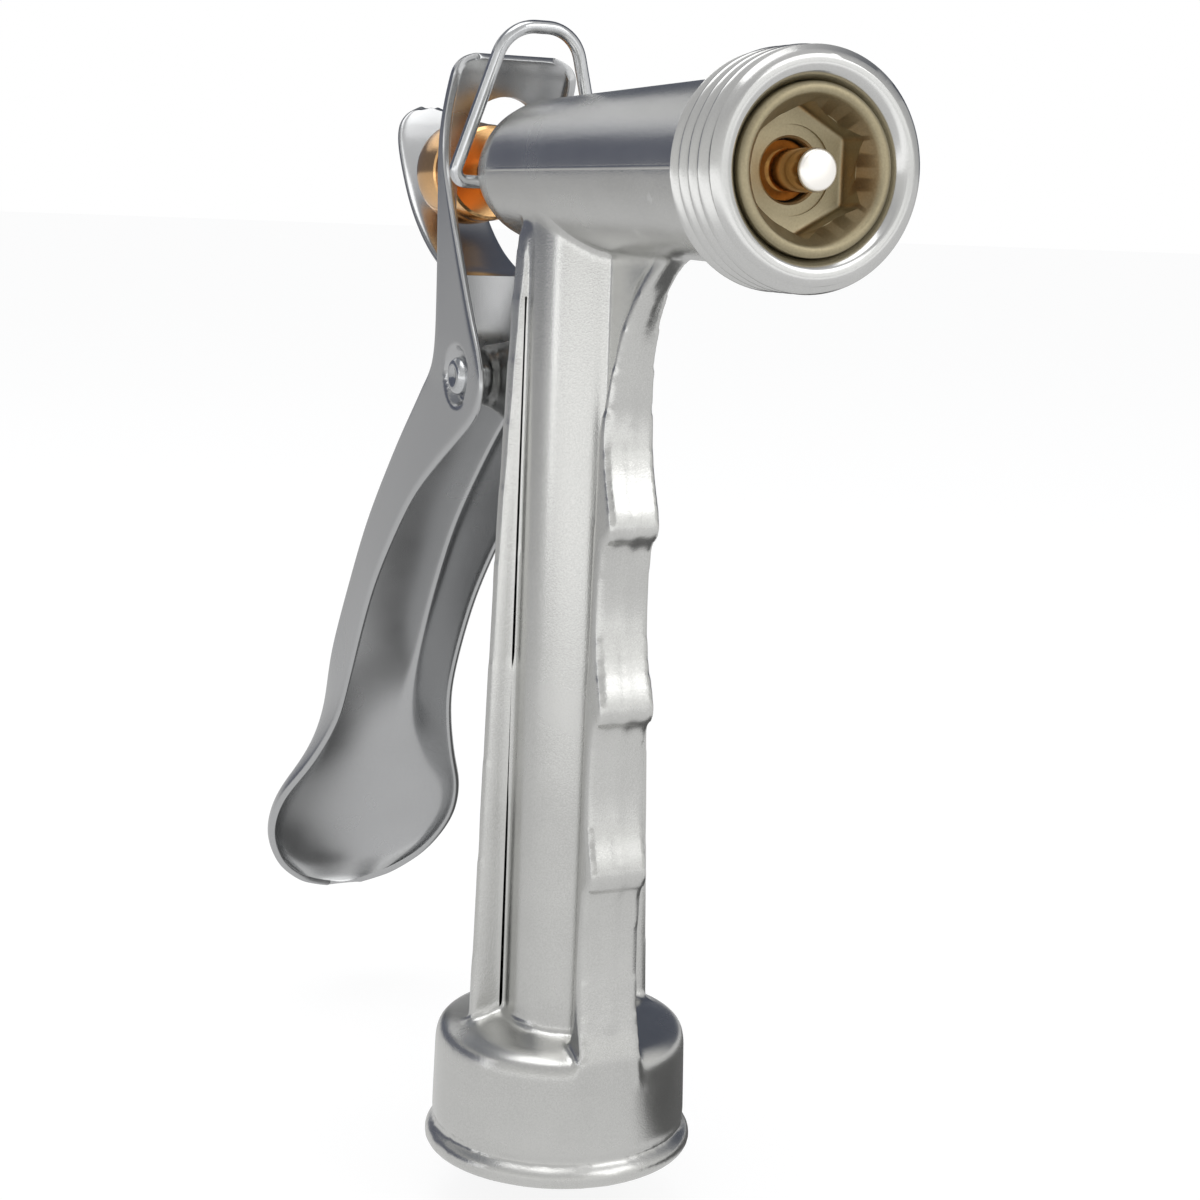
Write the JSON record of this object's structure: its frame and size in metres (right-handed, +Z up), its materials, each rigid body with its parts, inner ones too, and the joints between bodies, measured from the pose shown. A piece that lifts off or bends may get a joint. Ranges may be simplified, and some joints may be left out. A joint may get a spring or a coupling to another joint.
{
  "type": "hose spray nozzle",
  "caption": "Metal pistol-shaped hose spray nozzle with a rear squeeze lever, brass stem valve, adjusting nut and wire hold-open loop.",
  "frame": {"origin": "centre of the hose inlet mouth, at the bottom face of the collar", "axes": "+Z up the handle from the inlet, +X the way the water leaves the barrel, +Y across to the left seen from behind"},
  "size_m": [0.1573, 0.0366, 0.1529],
  "materials": {
    "cast_zinc": "satin die-cast zinc, clear coated",
    "dull_brass": "turned, dull",
    "bright_brass": "polished",
    "sheet_steel": "zinc-plated pressed sheet",
    "rivet_steel": "bright plated",
    "spring_steel": "bright drawn wire",
    "black_rubber": "moulded rubber"
  },
  "bodies": {
    "body": {"body_casting": "cast_zinc", "nozzle_insert": "dull_brass", "insert_gasket": "black_rubber", "stem_packing": "black_rubber", "gland_bush": "bright_brass", "spring_seat_washer": "sheet_steel", "return_spring": "spring_steel", "inlet_washer": "black_rubber"},
    "stem": {"valve_stem": "bright_brass", "valve_washer": "black_rubber", "backing_washer": "bright_brass"},
    "nut": {"adjusting_nut": "bright_brass"},
    "lever": {"lever": "sheet_steel", "pivot_rivet": "rivet_steel"},
    "wire": {"hold_open_wire": "spring_steel"}
  },
  "joints": [
    {"name": "lever_squeeze", "type": "hinge", "parent": "body", "child": "lever", "pos_m": [-0.0232, 0, 0.1038], "axis": [0, -1, 0], "range_deg": [0, 16], "stiffness_Nm_per_rad": 0.15},
    {"name": "stem_pull", "type": "slide", "parent": "body", "child": "stem", "axis": [-1, 0, 0], "range_m": [0, 0.008], "deforming": ["return_spring"]},
    {"name": "nut_turn", "type": "hinge", "parent": "stem", "child": "nut", "pos_m": [-0.0406, 0, 0.1324], "axis": [1, 0, 0], "continuous": true},
    {"name": "wire_swing", "type": "hinge", "parent": "body", "child": "wire", "pos_m": [-0.0205, 0, 0.1308], "axis": [0, 1, 0], "range_deg": [-15, 28]}
  ],
  "couplings": [
    {"joint": "stem_pull", "follows": "lever_squeeze", "m_per_rad": 0.028}
  ]
}
